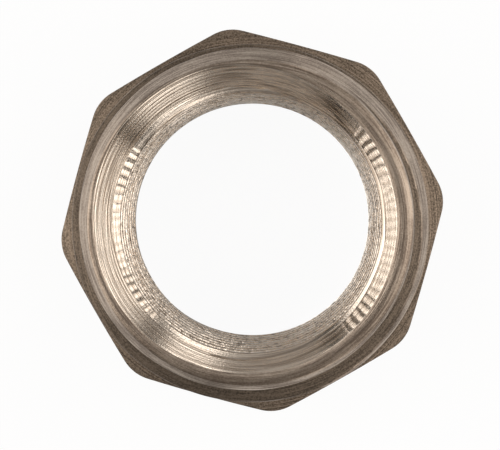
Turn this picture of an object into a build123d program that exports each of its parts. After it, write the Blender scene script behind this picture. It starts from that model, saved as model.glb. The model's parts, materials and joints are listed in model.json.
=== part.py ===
"""Reducing nipple: a G 1 outside thread above an octagon head, bored through for a G 3/4 inside thread.

Turned from octagon bar in one piece. The origin is the middle of the head's free face and +Z runs along
the bore towards the outside thread. Both threads are plain cylinders over their crests.
"""

import os
from math import cos, radians, tan

from build123d import *

os.makedirs("parts", exist_ok=True)

# Octagon head
flat_count = 8
across_flats = 36.0
head_height = 8.0
corner_radius = 3.8
corner_chamfer_angle = 30.0
free_face_inset = 0.5
shoulder_face_inset = 0.15

# Outside thread
male_crest_diameter = 33.249
male_length = 10.5
relief_depth = 1.65
relief_width = 1.4
relief_runout_angle = 45.0
nose_length = 1.9
nose_half_angle = 45.0

# Bore with the inside thread
female_crest_diameter = 24.117
nose_rim_width = 0.75
mouth_half_angle = 45.0
entry_depth = 1.5
entry_half_angle = 45.0

# Radii and heights that follow from the sizes above
flat_radius = across_flats / 2
corner_reach = flat_radius / cos(radians(180 / flat_count))
free_face_radius = flat_radius - free_face_inset
shoulder_face_radius = flat_radius - shoulder_face_inset
free_chamfer_height = (corner_reach - free_face_radius) * tan(radians(corner_chamfer_angle))
shoulder_chamfer_height = (corner_reach - shoulder_face_radius) * tan(radians(corner_chamfer_angle))

total_height = head_height + male_length
male_crest_radius = male_crest_diameter / 2
relief_radius = male_crest_radius - relief_depth
relief_top = head_height + relief_width
thread_start = relief_top + relief_depth / tan(radians(relief_runout_angle))
thread_end = total_height - nose_length
nose_radius = male_crest_radius - nose_length * tan(radians(nose_half_angle))

bore_radius = female_crest_diameter / 2
entry_radius = bore_radius + entry_depth * tan(radians(entry_half_angle))
mouth_radius = nose_radius - nose_rim_width
mouth_depth = (mouth_radius - bore_radius) / tan(radians(mouth_half_angle))

with BuildPart() as nipple:
    # Octagon bar with rounded corners
    with BuildSketch():
        RegularPolygon(flat_radius, flat_count, major_radius=False, rotation=180 / flat_count)
        fillet(vertices(), radius=corner_radius)
    extrude(amount=head_height)

    # Corners turned off to a cone on both faces of the head
    with BuildSketch(Plane.XZ):
        with BuildLine():
            Polyline(
                (0, 0),
                (free_face_radius, 0),
                (corner_reach, free_chamfer_height),
                (corner_reach, head_height - shoulder_chamfer_height),
                (shoulder_face_radius, head_height),
                (0, head_height),
                close=True,
            )
        make_face()
    revolve(axis=Axis.Z, mode=Mode.INTERSECT)

    # Threaded end with its relief at the shoulder and its long lead-in chamfer
    with BuildSketch(Plane.XZ):
        with BuildLine():
            Polyline(
                (0, head_height),
                (relief_radius, head_height),
                (relief_radius, relief_top),
                (male_crest_radius, thread_start),
                (male_crest_radius, thread_end),
                (nose_radius, total_height),
                (0, total_height),
                close=True,
            )
        make_face()
    revolve(axis=Axis.Z)

    # Through bore, with the thread's entry in the head and the wide mouth in the nose
    with BuildSketch(Plane.XZ):
        with BuildLine():
            Polyline(
                (0, 0),
                (entry_radius, 0),
                (bore_radius, entry_depth),
                (bore_radius, total_height - mouth_depth),
                (mouth_radius, total_height),
                (0, total_height),
                close=True,
            )
        make_face()
    revolve(axis=Axis.Z, mode=Mode.SUBTRACT)

nipple.part.label = "reducing_nipple"
export_step(nipple.part, "parts/reducing_nipple.step")
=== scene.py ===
"""Dresses the reducing nipple: cut threads, turned finish, and a plain pale stage."""

import json
from math import ceil, cos, floor, hypot, pi, radians, sin, tan

import bmesh
import bpy
from bpy.props import FloatProperty, FloatVectorProperty, PointerProperty
from mathutils import Matrix, Vector


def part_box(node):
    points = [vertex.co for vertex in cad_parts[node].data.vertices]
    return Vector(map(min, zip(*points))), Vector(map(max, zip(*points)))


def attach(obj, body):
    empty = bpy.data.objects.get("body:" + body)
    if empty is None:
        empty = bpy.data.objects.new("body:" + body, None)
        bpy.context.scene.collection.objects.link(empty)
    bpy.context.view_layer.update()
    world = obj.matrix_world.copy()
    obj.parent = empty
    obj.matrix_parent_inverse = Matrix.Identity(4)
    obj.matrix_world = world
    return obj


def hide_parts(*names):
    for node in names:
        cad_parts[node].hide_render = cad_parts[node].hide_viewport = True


bl_info = {
    "name": "Reducing nipple",
    "version": (1, 0, 0),
    "blender": (4, 5, 0),
    "location": "View3D > Sidebar > Nipple",
    "description": "Builds a threaded reducing nipple over its packed solid, with a plain stage",
    "category": "Object",
}

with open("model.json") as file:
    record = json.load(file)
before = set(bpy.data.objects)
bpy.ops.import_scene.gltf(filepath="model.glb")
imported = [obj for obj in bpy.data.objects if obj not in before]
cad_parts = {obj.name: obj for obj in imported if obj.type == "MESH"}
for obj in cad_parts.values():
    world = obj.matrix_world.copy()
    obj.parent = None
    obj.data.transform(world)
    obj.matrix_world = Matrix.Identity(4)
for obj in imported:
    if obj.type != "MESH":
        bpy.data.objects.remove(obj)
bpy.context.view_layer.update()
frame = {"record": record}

MM = 0.001
TAU = 2 * pi
BODY = "root"
NODE = "reducing_nipple"
MOUNTS = {mount["name"]: mount for mount in frame["record"]["mounts"]}
HIGH_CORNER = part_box(NODE)[1]
UP = Vector((0, 0, 1))

IMAGE_WIDTH = 500
IMAGE_HEIGHT = 450


def wall_span(mount):
    """Lowest and highest point of a round mount's wall along the bore axis."""
    middle = mount["pos_m"][2]
    half = mount["dims"]["length_mm"] * MM / 2
    return middle - half, middle + half


MALE_START, MALE_END = wall_span(MOUNTS["male_thread"])
FEMALE_START = wall_span(MOUNTS["female_thread"])[0]


class NippleSizes(bpy.types.PropertyGroup):
    """Sizes of the nipple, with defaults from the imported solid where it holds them."""

    flat_radius: FloatProperty(
        name="Flat radius", description="Half the width across the octagon's flats",
        default=HIGH_CORNER[0], unit="LENGTH")
    total_height: FloatProperty(
        name="Total height", description="From the head's free face to the end of the nose",
        default=HIGH_CORNER[2], unit="LENGTH")
    head_height: FloatProperty(
        name="Head height", description="Height of the octagon head",
        default=8.0 * MM, unit="LENGTH")
    corner_radius: FloatProperty(
        name="Corner radius", description="Rounding of the octagon's upright corners",
        default=3.8 * MM, unit="LENGTH")
    corner_slope: FloatProperty(
        name="Corner slope", description="Slope of the cone turned on the head's corners",
        default=radians(30), subtype="ANGLE")
    free_face_inset: FloatProperty(
        name="Free face inset", description="How far the free face's circle lies inside the flats",
        default=0.5 * MM, unit="LENGTH")
    shoulder_inset: FloatProperty(
        name="Shoulder inset", description="How far the shoulder's circle lies inside the flats",
        default=0.15 * MM, unit="LENGTH")

    male_crest: FloatProperty(
        name="Outside thread crest", description="Radius over the outside thread's crests",
        default=MOUNTS["male_thread"]["dims"]["r_mm"] * MM, unit="LENGTH")
    male_pitch: FloatProperty(
        name="Outside thread pitch", description="Rise of the outside thread in one turn",
        default=2.309 * MM, unit="LENGTH")
    male_start: FloatProperty(
        name="Outside thread start", description="Height where the outside thread leaves its relief",
        default=MALE_START, unit="LENGTH")
    male_end: FloatProperty(
        name="Outside thread end", description="Height where the lead-in chamfer starts",
        default=MALE_END, unit="LENGTH")
    relief_depth: FloatProperty(
        name="Relief depth", description="Depth of the thread relief at the shoulder",
        default=1.65 * MM, unit="LENGTH")
    runout_angle: FloatProperty(
        name="Run-out angle",
        description="Where round the axis the outside groove runs out on the chamfer",
        default=radians(46), subtype="ANGLE")

    female_crest: FloatProperty(
        name="Inside thread crest", description="Radius of the bore over the inside thread's crests",
        default=MOUNTS["female_thread"]["dims"]["r_mm"] * MM, unit="LENGTH")
    female_pitch: FloatProperty(
        name="Inside thread pitch", description="Rise of the inside thread in one turn",
        default=1.814 * MM, unit="LENGTH")
    entry_depth: FloatProperty(
        name="Entry depth", description="Depth of the inside thread's entry in the head",
        default=FEMALE_START, unit="LENGTH")
    female_angle: FloatProperty(
        name="Inside thread angle",
        description="Where round the axis the inside groove meets the nose's plane",
        default=radians(243), subtype="ANGLE")

    mouth_wide: FloatProperty(
        name="Mouth, wide side", description="Radius of the mouth's edge where the rim is thinnest",
        default=14.55 * MM, unit="LENGTH")
    mouth_narrow: FloatProperty(
        name="Mouth, narrow side", description="Radius of the mouth's edge where the rim is thickest",
        default=13.35 * MM, unit="LENGTH")
    mouth_slope: FloatProperty(
        name="Mouth slope", description="Lean of the mouth's wall from the axis",
        default=radians(45), subtype="ANGLE")
    mouth_angle: FloatProperty(
        name="Mouth angle", description="Where round the axis the mouth's edge is widest",
        default=radians(125), subtype="ANGLE")
    edge_break: FloatProperty(
        name="Edge break", description="Size of the small bevel on turned edges",
        default=0.05 * MM, unit="LENGTH")


class NippleFinish(bpy.types.PropertyGroup):
    """Colours and roughness of the plated brass."""

    plated: FloatVectorProperty(
        name="Plated", description="Dull nickel on the outside",
        default=(0.40, 0.335, 0.275), size=3, min=0, max=1, subtype="COLOR")
    # Tarnished is the darker tone of the film and of the torn metal; the outside groove is darkened with
    # painted shade instead
    tarnished: FloatVectorProperty(
        name="Tarnished", description="Darker film in the grooves and on the head",
        default=(0.19, 0.15, 0.12), size=3, min=0, max=1, subtype="COLOR")
    fresh: FloatVectorProperty(
        name="Freshly cut", description="Bright metal in the mouth and on the inside thread",
        default=(0.86, 0.78, 0.69), size=3, min=0, max=1, subtype="COLOR")
    bar: FloatVectorProperty(
        name="Bar", description="Dull nickel on the octagon's drawn sides and corners",
        default=(0.305, 0.243, 0.188), size=3, min=0, max=1, subtype="COLOR")
    # Bar pits also give the colour of the painted shade in the outside groove
    bar_pits: FloatVectorProperty(
        name="Bar pits", description="Dark pits of the drawn bar",
        default=(0.080, 0.064, 0.050), size=3, min=0, max=1, subtype="COLOR")
    roughness: FloatProperty(
        name="Roughness", description="Roughness of the turned surfaces",
        default=0.30, min=0, max=1, subtype="FACTOR")
    cut_roughness: FloatProperty(
        name="Cut roughness", description="Roughness of the freshly cut mouth",
        default=0.17, min=0, max=1, subtype="FACTOR")
    tapped_roughness: FloatProperty(
        name="Tapped roughness", description="Roughness of the torn surfaces of the inside thread",
        default=0.26, min=0, max=1, subtype="FACTOR")
    bar_roughness: FloatProperty(
        name="Bar roughness", description="Roughness of the octagon's drawn sides and corners",
        default=0.55, min=0, max=1, subtype="FACTOR")
    relief: FloatProperty(
        name="Relief", description="Height of the finest tool marks",
        default=0.025 * MM, unit="LENGTH", precision=6)


class NippleStage(bpy.types.PropertyGroup):
    """Camera and light of the stage."""

    camera_height: FloatProperty(
        name="Camera height", description="From the end of the nose to the camera",
        default=110 * MM, unit="LENGTH")
    camera_offset: FloatProperty(
        name="Camera offset",
        description="How far the camera stands off the axis, towards the picture's top",
        default=2.4 * MM, unit="LENGTH")
    camera_side: FloatProperty(
        name="Camera side",
        description="How far the camera stands off the axis, towards the picture's right",
        default=1.85 * MM, unit="LENGTH")
    focal_pixels: FloatProperty(
        name="Focal length", description="Focal length in pixels of the picture",
        default=1215, subtype="PIXEL")
    roll: FloatProperty(
        name="Roll", description="Turn of the picture round the bore axis",
        default=radians(15.3), subtype="ANGLE")
    centre_x: FloatProperty(
        name="Centre across", description="Where the nose's centre lies across the picture",
        default=249.8, subtype="PIXEL")
    centre_y: FloatProperty(
        name="Centre down", description="Where the nose's centre lies down the picture",
        default=223.4, subtype="PIXEL")
    dome: FloatVectorProperty(
        name="Room colour", description="Tint of the dim room round the stage",
        default=(1.0, 0.93, 0.86), size=3, min=0, max=1, subtype="COLOR")
    room_light: FloatProperty(
        name="Room light", description="Light of the room overhead",
        default=0.31, min=0)
    ceiling_light: FloatProperty(
        name="Ceiling light",
        description="Light that the panels overhead add, left and right of the camera",
        default=1.45, min=0)
    side_light: FloatProperty(
        name="Panel light", description="Light that the pale panels round the room add",
        default=1.38, min=0)
    top_light: FloatProperty(
        name="Top light",
        description="Light that the wall at the picture's top adds, and the one below takes away",
        default=0.05, min=0)
    panel_power: FloatProperty(
        name="Panel power", description="Power of the key panel, in watts",
        default=0.12, min=0)


# Finish values kept on each point of the mesh, with the painted shade of the outside groove
FINISH_AND_SHADE_NAMES = ("fresh_cut", "bar_stock", "tapped", "grooved")
PLATED = (0.0, 0.0, 0.0, 0.0)
BAR_STOCK = (0.0, 1.0, 0.0, 0.0)
FRESH_CUT = (1.0, 0.0, 0.0, 0.0)
TAPPED = (1.0, 0.0, 1.0, 0.0)
# Painted shade in the outside groove: the bar's dark colour, darkened further towards the bar pits' colour
SHADED_GROOVE = (0.0, 1.0, 0.0, 1.0)


class MeshDraft:
    """Collects the points, faces and finish values, with the painted groove shade, of one closed mesh,
    ring by ring.
    """

    def __init__(self, columns):
        self.columns = columns
        self.points = []
        self.faces = []
        self.finishes_and_shade = []

    def point(self, x, y, z, finish):
        self.points.append((x, y, z))
        self.finishes_and_shade.append(finish)
        return len(self.points) - 1

    def ring(self, place, finish=PLATED):
        """A ring of points, where place gives x, y and z for a column."""
        return [self.point(*place(column), finish) for column in range(self.columns)]

    def bridge(self, lower, upper):
        """Quads between two rings."""
        for column in range(self.columns):
            following = (column + 1) % self.columns
            self.faces.append((lower[column], lower[following], upper[following], upper[column]))

    def thread(self, pitch, rows, low, high, radius_at, low_ring, high_ring, finish_and_shade_at):
        """A band of quads on a right-hand helix between two rings, with spare turns at both ends."""
        first_turn = floor(low / pitch) - 2
        last_turn = ceil(high / pitch) + 1
        places = {}
        for row in range(first_turn * rows, (last_turn + 1) * rows):
            for column in range(self.columns):
                height = pitch * (row / rows + column / self.columns)
                if height <= low:
                    places[row, column] = low_ring[column]
                elif height >= high:
                    places[row, column] = high_ring[column]
                else:
                    angle = TAU * column / self.columns
                    radius = radius_at(angle, height)
                    places[row, column] = self.point(
                        radius * cos(angle), radius * sin(angle), height, finish_and_shade_at(angle, height))
        for row in range(first_turn * rows, last_turn * rows - 1):
            for column in range(self.columns):
                if column + 1 < self.columns:
                    right = (row, column + 1)
                    right_above = (row + 1, column + 1)
                else:
                    right = (row + rows, 0)
                    right_above = (row + rows + 1, 0)
                corners = (places[row, column], places.get(right, high_ring[0]),
                           places.get(right_above, high_ring[0]), places[row + 1, column])
                face = tuple(dict.fromkeys(corners))
                if len(face) > 2:
                    self.faces.append(face)

    def mesh(self, name):
        mesh = bpy.data.meshes.new(name)
        mesh.from_pydata(self.points, [], self.faces)
        for finish_name, values in zip(FINISH_AND_SHADE_NAMES, zip(*self.finishes_and_shade)):
            mesh.attributes.new(finish_name, "FLOAT", "POINT").data.foreach_set("value", values)
        solid = bmesh.new()
        solid.from_mesh(mesh)
        bmesh.ops.recalc_face_normals(solid, faces=solid.faces)
        solid.to_mesh(mesh)
        solid.free()
        mesh.validate()
        return mesh


def soft_min(first, second, reach):
    """The smaller of two values, with the corner between them rounded over reach."""
    overlap = max(reach - abs(first - second), 0) / reach
    return min(first, second) - overlap * overlap * reach / 4


def soft_max(first, second, reach):
    return -soft_min(-first, -second, reach)


# Whitworth form, as shares of the pitch; the outside groove is cut a little deeper
MALE_DEPTH = 0.75
FEMALE_DEPTH = 0.6403
FLAT_HALF_WIDTH = 0.0833
CORNER_REACH = 0.10
FLANK_ANGLE = radians(27.5)

# Rounding where two turned surfaces meet, and how fast the outside groove deepens above its relief
BEND_REACH = 0.04 * MM
RELIEF_TAPER = 0.10


def groove_depth(pitch, share, offset):
    """Depth of a thread's groove at an axial offset from the groove's middle."""
    depth = share * pitch
    reach = CORNER_REACH * pitch
    flank = depth - (offset - FLAT_HALF_WIDTH * pitch) / tan(FLANK_ANGLE)
    return soft_max(0, soft_min(depth, flank, reach), reach)


def groove_offset(pitch, height, angle):
    """Axial distance to the nearest turn of a groove that passes height 0 at angle 0."""
    turns = height / pitch - angle / TAU
    return abs(turns - round(turns)) * pitch


def male_radius(sizes, angle, height):
    """Outside thread, cut back by the relief and by the lead-in chamfer."""
    chamfer = sizes.male_crest - (height - sizes.male_end)
    root_height = sizes.male_end + MALE_DEPTH * sizes.male_pitch
    offset = groove_offset(sizes.male_pitch, height - root_height, angle - sizes.runout_angle)
    above_relief = height - (sizes.male_start - sizes.relief_depth)
    deepest = sizes.relief_depth - BEND_REACH + RELIEF_TAPER * above_relief
    thread = sizes.male_crest - min(groove_depth(sizes.male_pitch, MALE_DEPTH, offset), deepest)
    relief = sizes.male_crest - (sizes.male_start - height)
    return soft_min(soft_min(thread, chamfer, BEND_REACH), relief, BEND_REACH)


def male_finish_and_shade(sizes, angle, height):
    """Painted shade: dark where the groove lies inside the chamfer and the crest."""
    chamfer = sizes.male_crest - max(height - sizes.male_end, 0)
    if male_radius(sizes, angle, height) < chamfer - BEND_REACH:
        return SHADED_GROOVE
    return PLATED


# How far below the nose the inside groove fades in, and how the mouth's edge closes and opens again
FADE_START = 0.9 * MM
FADE_END = 1.6 * MM
MOUTH_LAG = 0.10
MOUTH_FALL = 0.55
MOUTH_FALL_POWER = 1.4
MOUTH_RISE_START = 0.80


def mouth_edge(sizes, angle):
    """Radius of the mouth's edge: it closes in along the thread's turn and then steps out again."""
    turn = ((angle - sizes.mouth_angle) / TAU) % 1
    if turn < MOUTH_RISE_START:
        fall = min(max((turn - MOUTH_LAG) / MOUTH_FALL, 0), 1)
        share = (1 - fall) ** MOUTH_FALL_POWER
    else:
        rise = (turn - MOUTH_RISE_START) / (1 - MOUTH_RISE_START)
        share = rise * rise * (3 - 2 * rise)
    return sizes.mouth_narrow + (sizes.mouth_wide - sizes.mouth_narrow) * share


def mouth_radius(sizes, angle, height):
    return mouth_edge(sizes, angle) - (sizes.total_height - height) * tan(sizes.mouth_slope)


def female_radius(sizes, angle, height):
    """Inside thread, opened by the entry in the head and by the mouth in the nose."""
    offset = groove_offset(sizes.female_pitch, height - sizes.total_height, angle - sizes.female_angle)
    depth = groove_depth(sizes.female_pitch, FEMALE_DEPTH, offset)
    below = sizes.total_height - height
    fade = min(max((below - FADE_START) / (FADE_END - FADE_START), 0), 1)
    thread = sizes.female_crest + depth * fade
    entry = sizes.female_crest + sizes.entry_depth - height
    mouth = mouth_radius(sizes, angle, height)
    return soft_max(soft_max(thread, entry, BEND_REACH), mouth, BEND_REACH)


def bore_finish(sizes, angle, height):
    """Freshly cut where the mouth's wall lies outside the thread, and tapped below it."""
    if mouth_radius(sizes, angle, height) < female_radius(sizes, angle, height) - BEND_REACH:
        return TAPPED
    return FRESH_CUT


SIDES = 8
FLAT_COLUMNS = 20
ARC_COLUMNS = 16
COLUMNS = SIDES * (FLAT_COLUMNS + ARC_COLUMNS)
MALE_ROWS = 40
FEMALE_ROWS = 14


def octagon_outline(sizes):
    """Points round the rounded octagon, counter-clockwise from the middle of the flat at +X."""
    inner = sizes.flat_radius - sizes.corner_radius
    half_flat = inner * tan(pi / SIDES)
    half_count = FLAT_COLUMNS // 2
    sector = [(sizes.flat_radius, half_flat * step / half_count) for step in range(half_count)]
    for step in range(ARC_COLUMNS):
        turn = TAU / SIDES * step / ARC_COLUMNS
        x = inner + sizes.corner_radius * cos(turn)
        y = half_flat + sizes.corner_radius * sin(turn)
        sector.append((x, y))
    next_flat = Matrix.Rotation(TAU / SIDES, 2)
    for step in range(half_count):
        sector.append(tuple(next_flat @ Vector((sizes.flat_radius, half_flat * (step / half_count - 1)))))
    outline = []
    for side in range(SIDES):
        turned = Matrix.Rotation(TAU / SIDES * side, 2)
        outline.extend(tuple(turned @ Vector(place)) for place in sector)
    return outline


def nipple_mesh(sizes):
    """The whole nipple as one closed mesh."""
    draft = MeshDraft(COLUMNS)
    top = sizes.total_height
    step = sizes.edge_break
    below_edge = top - step

    def curve(radius_at, height):
        def place(column):
            angle = TAU * column / COLUMNS
            radius = radius_at(angle)
            return radius * cos(angle), radius * sin(angle), height
        return place

    def circle(radius, height):
        return curve(lambda angle: radius, height)

    outline = octagon_outline(sizes)
    free_radius = sizes.flat_radius - sizes.free_face_inset
    shoulder_radius = sizes.flat_radius - sizes.shoulder_inset

    def low_edge(column):
        x, y = outline[column]
        return x, y, (hypot(x, y) - free_radius) * tan(sizes.corner_slope)

    def high_edge(column):
        x, y = outline[column]
        return x, y, sizes.head_height - (hypot(x, y) - shoulder_radius) * tan(sizes.corner_slope)

    relief_radius = sizes.male_crest - sizes.relief_depth
    relief_top = sizes.male_start - sizes.relief_depth
    nose_radius = sizes.male_crest - (top - sizes.male_end)
    entry_radius = sizes.female_crest + sizes.entry_depth

    entry_ring = draft.ring(circle(entry_radius, 0))
    free_ring = draft.ring(circle(free_radius, 0))
    low_ring = draft.ring(low_edge, BAR_STOCK)
    high_ring = draft.ring(high_edge, BAR_STOCK)
    shoulder_ring = draft.ring(circle(shoulder_radius, sizes.head_height), BAR_STOCK)
    root_ring = draft.ring(circle(relief_radius, sizes.head_height))
    relief_ring = draft.ring(circle(relief_radius, relief_top))
    nose_ring = draft.ring(circle(nose_radius + step, below_edge))
    rim_ring = draft.ring(circle(nose_radius - step / 2, top))
    edge_ring = draft.ring(curve(lambda angle: mouth_edge(sizes, angle) + step / 2, top))
    mouth_ring = draft.ring(
        curve(lambda angle: mouth_radius(sizes, angle, below_edge), below_edge), FRESH_CUT)

    for lower, upper in (
        (entry_ring, free_ring), (free_ring, low_ring), (low_ring, high_ring),
        (high_ring, shoulder_ring), (shoulder_ring, root_ring), (root_ring, relief_ring),
        (nose_ring, rim_ring), (rim_ring, edge_ring), (edge_ring, mouth_ring),
    ):
        draft.bridge(lower, upper)
    draft.thread(
        sizes.male_pitch, MALE_ROWS, relief_top, below_edge,
        lambda angle, height: male_radius(sizes, angle, height), relief_ring, nose_ring,
        lambda angle, height: male_finish_and_shade(sizes, angle, height))
    draft.thread(
        sizes.female_pitch, FEMALE_ROWS, 0, below_edge,
        lambda angle, height: female_radius(sizes, angle, height), entry_ring, mouth_ring,
        lambda angle, height: bore_finish(sizes, angle, height))
    return draft.mesh("nipple_body")


class NodeSheet:
    """Small helper to write a material's nodes as formulas."""

    def __init__(self, tree):
        self.tree = tree
        self.nodes = tree.nodes
        self.links = tree.links

    def add(self, kind, **settings):
        node = self.nodes.new(kind)
        for name, value in settings.items():
            setattr(node, name, value)
        return node

    def feed(self, socket, value):
        if isinstance(value, bpy.types.NodeSocket):
            self.links.new(value, socket)
        elif value is not None:
            socket.default_value = value

    def math(self, operation, first, second=None, third=None):
        node = self.add("ShaderNodeMath", operation=operation)
        for socket, value in zip(node.inputs, (first, second, third)):
            self.feed(socket, value)
        return node.outputs[0]

    def weigh(self, *terms):
        """Sum of values, each times its weight."""
        total = 0.0
        for value, weight in terms:
            total = self.math("MULTIPLY_ADD", value, weight, total)
        return total

    def mix(self, share, first, second):
        node = self.add("ShaderNodeMix", data_type="RGBA")
        self.feed(node.inputs["Factor"], share)
        self.feed(node.inputs["A"], first)
        self.feed(node.inputs["B"], second)
        return node.outputs["Result"]

    def noise(self, place, scale, detail, roughness=0.5, kind="3D", extra=None):
        node = self.add("ShaderNodeTexNoise", noise_dimensions=kind)
        self.feed(node.inputs["Vector"], place)
        if extra is not None:
            self.feed(node.inputs["W"], extra)
        self.feed(node.inputs["Scale"], scale)
        self.feed(node.inputs["Detail"], detail)
        self.feed(node.inputs["Roughness"], roughness)
        return node.outputs["Fac"]

    def vector(self, x, y, z=0.0):
        node = self.add("ShaderNodeCombineXYZ")
        for socket, value in zip(node.inputs, (x, y, z)):
            self.feed(socket, value)
        return node.outputs[0]

    def span(self, value, low, high):
        """Value mapped from low..high to 0..1, held at both ends."""
        node = self.add("ShaderNodeMapRange")
        self.feed(node.inputs["Value"], value)
        self.feed(node.inputs["From Min"], low)
        self.feed(node.inputs["From Max"], high)
        return node.outputs["Result"]

    def dot(self, vector, direction):
        node = self.add("ShaderNodeVectorMath", operation="DOT_PRODUCT")
        self.feed(node.inputs[0], vector)
        self.feed(node.inputs[1], direction)
        return node.outputs["Value"]

    def attribute(self, name):
        return self.add("ShaderNodeAttribute", attribute_name=name).outputs["Fac"]


def opaque(colour):
    return (*colour, 1.0)


def heading(angle):
    """Unit vector at an angle round the bore axis."""
    return Vector((cos(angle), sin(angle), 0))


def around(right, upward, angle):
    """Level direction at an angle from right towards upward."""
    return right * cos(angle) + upward * sin(angle)


# Scales of the marks on the surface, and breaks of a streak round the axis
LINE_SPACING = 0.22 * MM
STREAK_SPACING = 0.12 * MM
STREAK_BREAKS = 3.0
GRAIN_SIZE = 0.17 * MM
CLOUD_SIZE = 3.5 * MM
TEAR_WIDTH = 0.42 * MM
TEAR_LENGTH = 1.8 * MM

# Detail and roughness of each mark's noise
LINE_NOISE = (2.0, 0.6)
STREAK_NOISE = (3.0, 0.6)
GRAIN_NOISE = (2.0, 0.6)
CLOUD_NOISE = (3.0, 0.55)
TEAR_NOISE = (2.0, 0.5)

# Share of each mark in a film, and where the film turns from the first colour to the second
FILM_STREAKS = 0.6
FILM_CLOUD = 0.2
FILM_GRAIN = 0.2
FILM_SPAN = (0.44, 0.56)
PIT_GRAIN = 0.5
PIT_STREAKS = 0.5
PIT_SPAN = (0.41, 0.60)
LINE_SPAN = (0.45, 0.70)
TORN_SPAN = (0.49, 0.80)
# Share of the painted shade mixed into the outside groove
GROOVE_SHADE_SHARE = 0.45
ROUGHNESS_SPREAD = 0.20

# How far below the nose the torn metal of the inside thread starts, and where it is torn all over
TORN_TOP = 2.9 * MM
TORN_FOOT = 3.7 * MM

# Chatter: waves in a whole turn, their drift and unevenness, and the two places that have it
CHATTER_COUNT = 96
CHATTER_FOOT = 4.2 * MM
CHATTER_DRIFT = 9.0
CHATTER_WOBBLE = 1.0
STRIPE_SPAN = (0.1, 0.9)
STRIPE_SHARE = 0.55
WALL_MIDDLE = radians(12)
WALL_EDGE = (cos(radians(46)), cos(radians(37)))
FLANK_MIDDLE = radians(202)
FLANK_EDGE = (cos(radians(42)), cos(radians(34)))

# Height of each mark, as a share of the finest tool marks
LINE_HEIGHT = 0.3
STREAK_HEIGHT = 0.7
GRAIN_HEIGHT = 0.5
CHATTER_HEIGHT = 0.8
TEAR_HEIGHT = 3.2


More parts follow.
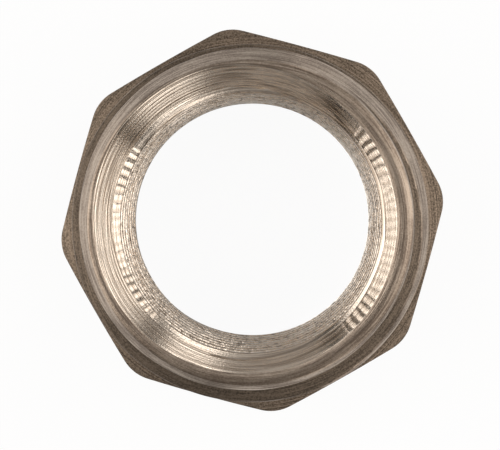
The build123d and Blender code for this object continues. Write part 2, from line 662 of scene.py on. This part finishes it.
def plated_brass(finish, top):
    """Dull nickel plating over turned brass, bright where the mouth was cut last, with painted shade in
    the outside groove.
    """
    material = bpy.data.materials.new("nickel_plated_brass")
    material.use_nodes = True
    sheet = NodeSheet(material.node_tree)
    shader = sheet.nodes["Principled BSDF"]
    place = sheet.add("ShaderNodeTexCoord").outputs["Object"]
    axes = sheet.add("ShaderNodeSeparateXYZ")
    sheet.feed(axes.inputs[0], place)
    x, y, z = axes.outputs
    radius = sheet.math("SQRT", sheet.weigh((x, x), (y, y)))
    fresh = sheet.attribute("fresh_cut")
    bar = sheet.attribute("bar_stock")
    tapped = sheet.attribute("tapped")

    # Marks of the tool, the film and the grain, each from 0 to 1
    outward = sheet.math("DIVIDE", radius, LINE_SPACING)
    along = sheet.math("DIVIDE", z, LINE_SPACING)
    lines = sheet.noise(sheet.vector(outward, along), 1.0, *LINE_NOISE, kind="2D")
    turned = sheet.vector(
        sheet.math("MULTIPLY", sheet.math("DIVIDE", x, radius), STREAK_BREAKS),
        sheet.math("MULTIPLY", sheet.math("DIVIDE", y, radius), STREAK_BREAKS),
        sheet.math("DIVIDE", radius, STREAK_SPACING))
    climb = sheet.math("DIVIDE", z, STREAK_SPACING)
    streaks = sheet.noise(turned, 1.0, *STREAK_NOISE, kind="4D", extra=climb)
    cloud = sheet.noise(place, 1 / CLOUD_SIZE, *CLOUD_NOISE)
    grain = sheet.noise(place, 1 / GRAIN_SIZE, *GRAIN_NOISE)
    drawn = sheet.add("ShaderNodeVectorMath", operation="MULTIPLY")
    sheet.feed(drawn.inputs[0], place)
    sheet.feed(drawn.inputs[1], (1 / TEAR_WIDTH, 1 / TEAR_WIDTH, 1 / TEAR_LENGTH))
    tears = sheet.noise(drawn.outputs[0], 1.0, *TEAR_NOISE)

    # Colours of the plated and drawn surfaces outside, and of the cut and torn ones inside
    film = sheet.weigh((streaks, FILM_STREAKS), (cloud, FILM_CLOUD), (grain, FILM_GRAIN))
    film = sheet.span(film, *FILM_SPAN)
    outside = sheet.mix(film, opaque(finish.plated), opaque(finish.tarnished))
    pits = sheet.span(sheet.weigh((grain, PIT_GRAIN), (streaks, PIT_STREAKS)), *PIT_SPAN)
    rough_bar = sheet.mix(pits, opaque(finish.bar), opaque(finish.bar_pits))
    outside = sheet.mix(bar, outside, rough_bar)
    # Painted shade: the outside groove is darkened towards the bar pits' colour, standing in for the shade
    # the shallow groove doesn't cast
    grooved = sheet.math("MULTIPLY", sheet.attribute("grooved"), GROOVE_SHADE_SHARE)
    outside = sheet.mix(grooved, outside, opaque(finish.bar_pits))
    inside = sheet.mix(sheet.span(lines, *LINE_SPAN), opaque(finish.fresh), opaque(finish.plated))
    torn = sheet.mix(sheet.span(tears, *TORN_SPAN), opaque(finish.fresh), opaque(finish.tarnished))
    deep = sheet.math("MULTIPLY", tapped, sheet.span(z, top - TORN_TOP, top - TORN_FOOT))
    inside = sheet.mix(deep, inside, torn)

    # Chatter on the narrow side of the mouth's wall, and on the first flank across from it
    angle = sheet.math("ARCTAN2", y, x)
    drift = sheet.math("MULTIPLY", cloud, CHATTER_DRIFT)
    wave = sheet.math("SINE", sheet.math("MULTIPLY_ADD", angle, CHATTER_COUNT, drift))
    wobble = sheet.math("MULTIPLY_ADD", streaks, 2 * CHATTER_WOBBLE, -CHATTER_WOBBLE)
    wave = sheet.math("ADD", wave, wobble)
    wall = sheet.math("DIVIDE", sheet.dot(place, heading(WALL_MIDDLE)), radius)
    wall = sheet.math("MULTIPLY", sheet.span(wall, *WALL_EDGE), sheet.math("SUBTRACT", 1.0, tapped))
    flank = sheet.math("DIVIDE", sheet.dot(place, heading(FLANK_MIDDLE)), radius)
    flank = sheet.math("MULTIPLY", sheet.span(flank, *FLANK_EDGE), tapped)
    patches = sheet.math("MULTIPLY", sheet.math("ADD", wall, flank), fresh)
    patches = sheet.math("MULTIPLY", patches, sheet.math("GREATER_THAN", z, top - CHATTER_FOOT))
    stripes = sheet.math("MULTIPLY", sheet.span(wave, *STRIPE_SPAN), patches)
    inside = sheet.mix(sheet.math("MULTIPLY", stripes, STRIPE_SHARE), inside, opaque(finish.plated))
    sheet.feed(shader.inputs["Base Color"], sheet.mix(fresh, outside, inside))
    shader.inputs["Metallic"].default_value = 1.0

    # Roughness of each kind of surface, over the one of the turned outside
    marks = sheet.weigh(
        (streaks, ROUGHNESS_SPREAD),
        (fresh, finish.cut_roughness - finish.roughness),
        (deep, finish.tapped_roughness - finish.cut_roughness),
        (bar, finish.bar_roughness - finish.roughness))
    rough = sheet.math("ADD", finish.roughness - ROUGHNESS_SPREAD / 2, marks)
    sheet.feed(shader.inputs["Roughness"], rough)

    # Relief too fine for the mesh: turning lines, higher on fresh metal, grain, chatter and tears
    ridges = sheet.math("MULTIPLY", lines, sheet.math("ADD", LINE_HEIGHT, fresh))
    height = sheet.weigh(
        (ridges, 1.0),
        (streaks, STREAK_HEIGHT),
        (grain, GRAIN_HEIGHT),
        (sheet.math("MULTIPLY", wave, patches), CHATTER_HEIGHT),
        (sheet.math("MULTIPLY", tears, deep), TEAR_HEIGHT))
    bump = sheet.add("ShaderNodeBump")
    sheet.feed(bump.inputs["Height"], height)
    bump.inputs["Strength"].default_value = 1.0
    bump.inputs["Distance"].default_value = finish.relief
    sheet.links.new(bump.outputs["Normal"], shader.inputs["Normal"])
    return material


SHARP_ANGLE = radians(50)


class NIPPLE_OT_body(bpy.types.Operator):
    """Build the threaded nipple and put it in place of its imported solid"""

    bl_idname = "nipple.body"
    bl_label = "Build nipple"

    def execute(self, context):
        sizes = context.scene.nipple_sizes
        piece = bpy.data.objects.new("nipple_body", nipple_mesh(sizes))
        context.scene.collection.objects.link(piece)
        piece.data.polygons.foreach_set("use_smooth", [True] * len(piece.data.polygons))
        piece.data.set_sharp_from_angle(angle=SHARP_ANGLE)
        piece.data.materials.append(plated_brass(context.scene.nipple_finish, sizes.total_height))
        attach(piece, BODY)
        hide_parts(NODE)
        return {"FINISHED"}


# Floor: its own finish, and its glow to the camera
FLOOR_HALF = 2.0
FLOOR_COLOUR = (0.9, 0.9, 0.9)
FLOOR_ROUGHNESS = 0.9
FLOOR_GLOW = 0.94

# Floor as the metal mirrors it: dim in the middle, paler out to the sides and beyond the picture's top
MIRRORED_GLOW = 0.36
SIDE_GLOW = 0.88
TOP_GLOW = 0.06
GLOW_REACH = 50 * MM
GLOW_SHIFT = -3 * MM
GLOW_SIDE = radians(170)

# Pale strip of that mirrored floor, under the right side of the bore
STRIP_GLOW = 0.95
STRIP_SHIFT = 9 * MM
STRIP_EDGE = (6 * MM, 2 * MM)


def white_floor(sideways, upward):
    """White to the camera with the object's shadow kept on it, and uneven in the metal's reflections."""
    material = bpy.data.materials.new("pale_floor")
    material.use_nodes = True
    sheet = NodeSheet(material.node_tree)
    shader = sheet.nodes["Principled BSDF"]
    shader.inputs["Base Color"].default_value = opaque(FLOOR_COLOUR)
    shader.inputs["Roughness"].default_value = FLOOR_ROUGHNESS
    glow = sheet.add("ShaderNodeEmission")
    rays = sheet.add("ShaderNodeLightPath")
    seen = sheet.math("MAXIMUM", rays.outputs["Is Camera Ray"], rays.outputs["Is Transmission Ray"])
    seen = sheet.math("MULTIPLY", seen, FLOOR_GLOW)
    place = sheet.add("ShaderNodeTexCoord").outputs["Object"]
    distance = sheet.dot(place, sideways)
    side = sheet.math("ABSOLUTE", sheet.math("ADD", distance, GLOW_SHIFT))
    side = sheet.span(side, 0.0, GLOW_REACH)
    strip = sheet.math("ABSOLUTE", sheet.math("ADD", distance, STRIP_SHIFT))
    strip = sheet.span(strip, *STRIP_EDGE)
    beyond = sheet.span(sheet.dot(place, upward), 0.0, GLOW_REACH)
    level = sheet.math("MULTIPLY_ADD", side, SIDE_GLOW, MIRRORED_GLOW)
    level = sheet.math("MULTIPLY_ADD", beyond, TOP_GLOW, level)
    level = sheet.math("MULTIPLY_ADD", strip, STRIP_GLOW, level)
    mirrored = rays.outputs["Is Glossy Ray"]
    change = sheet.math("MULTIPLY", mirrored, sheet.math("SUBTRACT", level, 1.0))
    sheet.feed(glow.inputs["Strength"], sheet.math("ADD", 1.0, change))
    blend = sheet.add("ShaderNodeMixShader")
    sheet.feed(blend.inputs["Fac"], sheet.math("MAXIMUM", seen, mirrored))
    sheet.links.new(shader.outputs[0], blend.inputs[1])
    sheet.links.new(glow.outputs[0], blend.inputs[2])
    sheet.links.new(blend.outputs[0], sheet.nodes["Material Output"].inputs["Surface"])
    return material


# Panels round the room: middle and half width round the axis, and the light at the foot and above it
PANELS = (
    (radians(9), radians(39), 0.16, 1.2),
    (radians(173), radians(43), 0.9, 0.9),
    (radians(-58), radians(13), 0.15, 1.5),
    (radians(65), radians(13), 0.2, 1.7),
)

# Dark seams between the panels: place round the axis, and how far they close at the foot
SEAMS = (
    (radians(50), 0.75),
    (radians(132), 1.0),
    (radians(227), 1.0),
    (radians(322), 0.75),
)

# Soft ends of the panels and seams, where a level is the sine of the height over the horizon
PANEL_FADE = radians(4)
PANEL_FOOT = (0.15, 0.40)
PANEL_TOP = (0.74, 0.50)
SEAM_EDGE = (sin(radians(9)), sin(radians(5)))
SEAM_TOP = (0.86, 0.76)
SEAM_SHARE = 0.95

# Pale ceiling left and right of the camera, and the dim place round the camera itself
CEILING_LEAN = radians(35)
CEILING_EDGE = (cos(radians(32)), cos(radians(20)))
CAMERA_EDGE = (cos(radians(20)), cos(radians(8)))
CAMERA_LEAN = radians(6)
CAMERA_SHADE = 0.65


def room(stage, right, upward):
    """A dim room with pale panels round the stage, paler at the picture's top than below it."""
    world = bpy.data.worlds.new("room")
    world.use_nodes = True
    sheet = NodeSheet(world.node_tree)
    background = sheet.nodes["Background"]
    background.inputs["Color"].default_value = opaque(stage.dome)
    direction = sheet.add("ShaderNodeTexCoord").outputs["Generated"]
    level = sheet.dot(direction, UP)
    reach = sheet.math("SQRT", sheet.math("SUBTRACT", 1.0, sheet.math("MULTIPLY", level, level)))
    light = sheet.math("MULTIPLY", sheet.dot(direction, upward), stage.top_light)
    light = sheet.math("ADD", light, stage.room_light)

    low = sheet.span(level, *PANEL_TOP)
    raised = sheet.span(level, *PANEL_FOOT)
    for middle, half_width, foot_light, upper_light in PANELS:
        facing = sheet.math("DIVIDE", sheet.dot(direction, around(right, upward, middle)), reach)
        panel = sheet.span(facing, cos(half_width + PANEL_FADE), cos(half_width - PANEL_FADE))
        glow = sheet.math("MULTIPLY_ADD", raised, upper_light - foot_light, foot_light)
        panel = sheet.math("MULTIPLY", sheet.math("MULTIPLY", panel, low), glow)
        light = sheet.math("MULTIPLY_ADD", panel, stage.side_light, light)

    closed = 0.0
    for seam, foot_share in SEAMS:
        towards = around(right, upward, seam)
        aside = sheet.math("ABSOLUTE", sheet.dot(direction, towards.cross(UP)))
        ahead = sheet.math("GREATER_THAN", sheet.dot(direction, towards), 0.0)
        gap = sheet.math("MULTIPLY", ahead, sheet.span(aside, *SEAM_EDGE))
        share = sheet.math("MULTIPLY_ADD", raised, 1.0 - foot_share, foot_share)
        closed = sheet.math("MAXIMUM", closed, sheet.math("MULTIPLY", gap, share))
    closed = sheet.math("MULTIPLY", closed, SEAM_SHARE)
    light = sheet.math("MULTIPLY", light, sheet.math("SUBTRACT", 1.0, closed))

    beside = sheet.math("ABSOLUTE", sheet.dot(direction, right))
    overhead = sheet.weigh((level, cos(CEILING_LEAN)), (beside, sin(CEILING_LEAN)))
    ceiling = sheet.span(overhead, *CEILING_EDGE)
    closed = sheet.math("MULTIPLY", closed, sheet.span(level, *SEAM_TOP))
    ceiling = sheet.math("MULTIPLY", ceiling, sheet.math("SUBTRACT", 1.0, closed))
    light = sheet.math("MULTIPLY_ADD", ceiling, stage.ceiling_light, light)

    above = UP * cos(CAMERA_LEAN) - upward * sin(CAMERA_LEAN)
    shade = sheet.math("MULTIPLY", sheet.span(sheet.dot(direction, above), *CAMERA_EDGE), CAMERA_SHADE)
    light = sheet.math("MULTIPLY", light, sheet.math("SUBTRACT", 1.0, shade))
    sheet.feed(background.inputs["Strength"], light)
    return world


# Key panel: its size, and its place from the nose towards the picture's right, its top and overhead
LAMP_SIZE = 0.25
LAMP_PLACE = (-0.10, 0.14, 0.50)
CLIP_START = 1 * MM


def add_floor(scene, right, upward):
    """A wide pale floor under the nipple."""
    half = FLOOR_HALF
    corners = [(-half, -half, 0), (half, -half, 0), (half, half, 0), (-half, half, 0)]
    mesh = bpy.data.meshes.new("floor")
    mesh.from_pydata(corners, [], [range(len(corners))])
    mesh.materials.append(white_floor(around(right, upward, GLOW_SIDE), upward))
    piece = bpy.data.objects.new("floor", mesh)
    scene.collection.objects.link(piece)


def add_lamp(scene, stage, nose, right, upward):
    """A soft key panel overhead, turned to the nose."""
    lamp = bpy.data.lights.new("key_panel", "AREA")
    lamp.shape = "SQUARE"
    lamp.size = LAMP_SIZE
    lamp.energy = stage.panel_power
    sideways, beyond, overhead = LAMP_PLACE
    place = nose + right * sideways + upward * beyond + UP * overhead
    turn = (nose - place).to_track_quat("-Z", "Y").to_matrix()
    piece = bpy.data.objects.new("key_panel", lamp)
    piece.matrix_world = Matrix.Translation(place) @ turn.to_4x4()
    scene.collection.objects.link(piece)


def add_camera(scene, stage, nose, right, upward):
    """A camera above the nose, aimed so that the nose's centre comes out where the picture has it."""
    camera = bpy.data.cameras.new("camera")
    camera.sensor_fit = "HORIZONTAL"
    camera.lens = stage.focal_pixels / IMAGE_WIDTH * camera.sensor_width
    camera.clip_start = CLIP_START
    eye = nose + right * stage.camera_side + upward * stage.camera_offset + UP * stage.camera_height
    metres_per_pixel = stage.camera_height / stage.focal_pixels
    aim = nose - right * ((stage.centre_x - IMAGE_WIDTH / 2) * metres_per_pixel)
    aim = aim + upward * ((stage.centre_y - IMAGE_HEIGHT / 2) * metres_per_pixel)
    back = (eye - aim).normalized()
    across = upward.cross(back).normalized()
    turn = Matrix((across, back.cross(across), back)).transposed()
    piece = bpy.data.objects.new("camera", camera)
    piece.matrix_world = Matrix.Translation(eye) @ turn.to_4x4()
    scene.collection.objects.link(piece)
    scene.camera = piece


class NIPPLE_OT_stage(bpy.types.Operator):
    """Set up the floor, the light and the camera"""

    bl_idname = "nipple.stage"
    bl_label = "Set the stage"

    def execute(self, context):
        scene = context.scene
        stage = scene.nipple_stage
        scene.view_settings.view_transform = "Standard"
        nose = UP * scene.nipple_sizes.total_height
        right = heading(stage.roll)
        upward = UP.cross(right)
        add_floor(scene, right, upward)
        scene.world = room(stage, right, upward)
        add_lamp(scene, stage, nose, right, upward)
        add_camera(scene, stage, nose, right, upward)
        return {"FINISHED"}


class NIPPLE_PT_panel(bpy.types.Panel):
    """Sidebar panel with the nipple's sizes, finish and stage"""

    bl_idname = "NIPPLE_PT_panel"
    bl_label = "Reducing nipple"
    bl_space_type = "VIEW_3D"
    bl_region_type = "UI"
    bl_category = "Nipple"

    def draw(self, context):
        for group in (context.scene.nipple_sizes, context.scene.nipple_finish, context.scene.nipple_stage):
            box = self.layout.box()
            for name in group.__annotations__:
                box.prop(group, name)
        self.layout.operator(NIPPLE_OT_body.bl_idname)
        self.layout.operator(NIPPLE_OT_stage.bl_idname)


CLASSES = (NippleSizes, NippleFinish, NippleStage, NIPPLE_OT_body, NIPPLE_OT_stage, NIPPLE_PT_panel)


def register():
    for kind in CLASSES:
        bpy.utils.register_class(kind)
    bpy.types.Scene.nipple_sizes = PointerProperty(type=NippleSizes)
    bpy.types.Scene.nipple_finish = PointerProperty(type=NippleFinish)
    bpy.types.Scene.nipple_stage = PointerProperty(type=NippleStage)


def unregister():
    del bpy.types.Scene.nipple_stage
    del bpy.types.Scene.nipple_finish
    del bpy.types.Scene.nipple_sizes
    for kind in reversed(CLASSES):
        bpy.utils.unregister_class(kind)


def main():
    register()
    bpy.ops.nipple.body()
    bpy.ops.nipple.stage()


if __name__ == "__main__":
    main()
